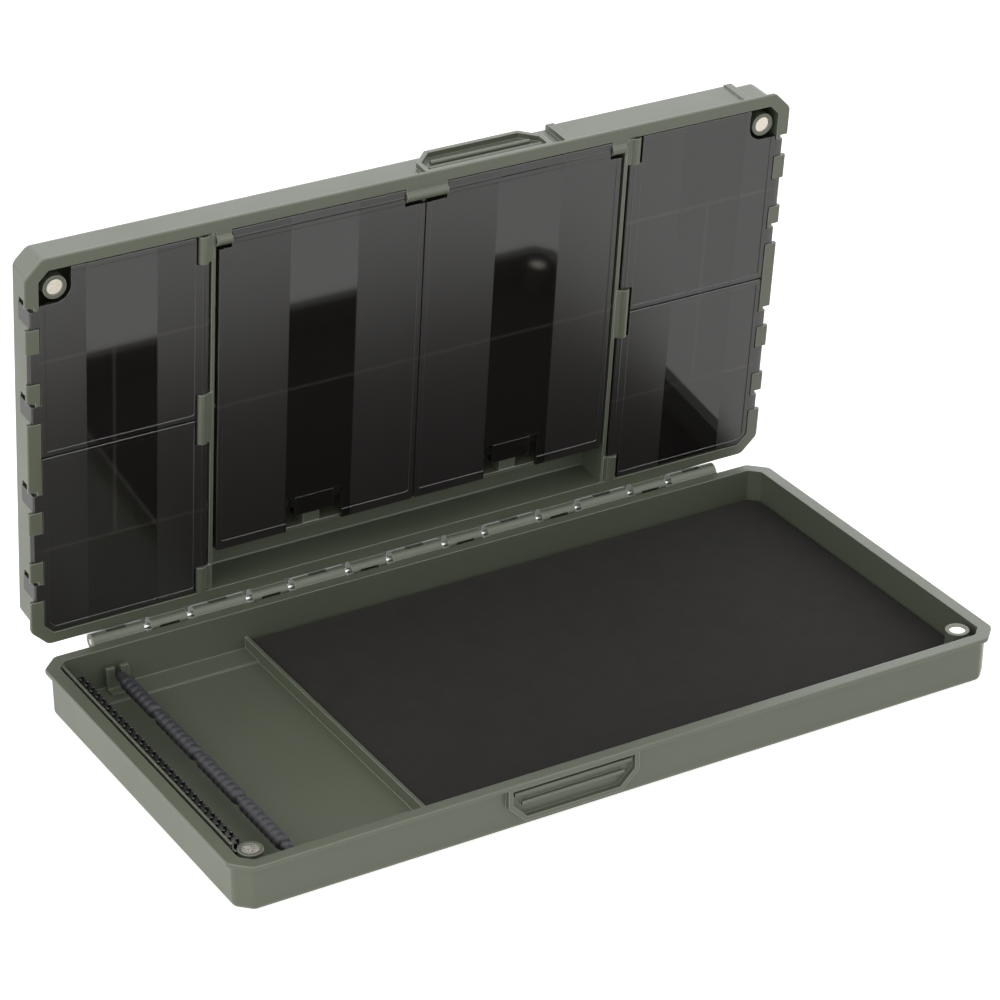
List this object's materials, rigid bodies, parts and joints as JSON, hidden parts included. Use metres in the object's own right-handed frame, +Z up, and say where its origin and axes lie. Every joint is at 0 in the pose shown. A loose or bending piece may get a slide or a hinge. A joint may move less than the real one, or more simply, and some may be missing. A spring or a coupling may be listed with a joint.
{
  "type": "rig box",
  "caption": "Shallow tray with a foam mat, rig roll and comb strip under a hinged lid whose cells shut with smoked covers; magnets hold the lid.",
  "frame": {"origin": "middle of the tray's flat underside, on the surface it stands on", "axes": "+X along the long side to the right, -Y to the front grips, +Y to the lid hinge, +Z up"},
  "size_m": [0.3714, 0.2121, 0.2154],
  "materials": {
    "olive_plastic": "moulded olive plastic with a fine satin grain",
    "smoked_plastic": "smoked clear plastic, satin with polished bands",
    "eva_foam": "black closed-cell foam",
    "comb_rubber": "black moulded rubber",
    "roll_foam": "black ribbed foam tube",
    "black_plastic": "black moulded plastic",
    "magnet_nickel": "nickel-plated disc, lightly scuffed",
    "pin_steel": "drawn steel wire"
  },
  "bodies": {
    "tray": {"tray_shell": "olive_plastic", "eva_mat": "eva_foam", "comb_strip": "comb_rubber", "roll_fork_rear": "olive_plastic", "roll_fork_front": "olive_plastic", "tray_magnet_left": "magnet_nickel", "tray_magnet_right": "magnet_nickel", "hinge_pin": "pin_steel"},
    "lid": {"lid_shell": "olive_plastic", "cell_walls_centre": "olive_plastic", "cell_walls_left": "olive_plastic", "cell_walls_right": "olive_plastic", "lid_magnet_left": "magnet_nickel", "lid_magnet_right": "magnet_nickel"},
    "roll": {"rig_roll": "roll_foam", "roll_core_rod": "black_plastic"},
    "side_cover_left_front_body": {"side_cover_left_front": "smoked_plastic"},
    "side_cover_left_rear_body": {"side_cover_left_rear": "smoked_plastic"},
    "centre_cover_left_body": {"centre_cover_left": "smoked_plastic"},
    "centre_latch_left_body": {"centre_latch_left": "smoked_plastic"},
    "side_cover_right_front_body": {"side_cover_right_front": "smoked_plastic"},
    "side_cover_right_rear_body": {"side_cover_right_rear": "smoked_plastic"},
    "centre_cover_right_body": {"centre_cover_right": "smoked_plastic"},
    "centre_latch_right_body": {"centre_latch_right": "smoked_plastic"}
  },
  "joints": [
    {"name": "lid_hinge", "type": "hinge", "parent": "tray", "child": "lid", "pos_m": [0, 0.0983, 0.022], "axis": [-1, 0, 0], "range_deg": [-84.5, 95]},
    {"name": "roll_spin", "type": "hinge", "parent": "tray", "child": "roll", "pos_m": [-0.1525, 0, 0.0118], "axis": [0, 1, 0], "continuous": true},
    {"name": "side_cover_left_front_hinge", "type": "hinge", "parent": "lid", "child": "side_cover_left_front_body", "pos_m": [-0.105, 0.09077, 0.12003], "axis": [0, -0.0958, 0.9954], "range_deg": [0, 92]},
    {"name": "side_cover_left_rear_hinge", "type": "hinge", "parent": "lid", "child": "side_cover_left_rear_body", "pos_m": [-0.105, 0.09077, 0.12003], "axis": [0, -0.0958, 0.9954], "range_deg": [0, 92]},
    {"name": "centre_cover_left_hinge", "type": "hinge", "parent": "lid", "child": "centre_cover_left_body", "pos_m": [-0.05, 0.08269, 0.20394], "axis": [-1, 0, 0], "range_deg": [0, 100]},
    {"name": "centre_latch_left_flex", "type": "hinge", "parent": "centre_cover_left_body", "child": "centre_latch_left_body", "pos_m": [-0.05, 0.09584, 0.06737], "axis": [1, 0, 0], "range_deg": [0, 7], "stiffness_Nm_per_rad": 0.2},
    {"name": "side_cover_right_front_hinge", "type": "hinge", "parent": "lid", "child": "side_cover_right_front_body", "pos_m": [0.105, 0.09077, 0.12003], "axis": [0, 0.0958, -0.9954], "range_deg": [0, 92]},
    {"name": "side_cover_right_rear_hinge", "type": "hinge", "parent": "lid", "child": "side_cover_right_rear_body", "pos_m": [0.105, 0.09077, 0.12003], "axis": [0, 0.0958, -0.9954], "range_deg": [0, 92]},
    {"name": "centre_cover_right_hinge", "type": "hinge", "parent": "lid", "child": "centre_cover_right_body", "pos_m": [0.05, 0.08269, 0.20394], "axis": [-1, 0, 0], "range_deg": [0, 100]},
    {"name": "centre_latch_right_flex", "type": "hinge", "parent": "centre_cover_right_body", "child": "centre_latch_right_body", "pos_m": [0.05, 0.09584, 0.06737], "axis": [1, 0, 0], "range_deg": [0, 7], "stiffness_Nm_per_rad": 0.2}
  ]
}
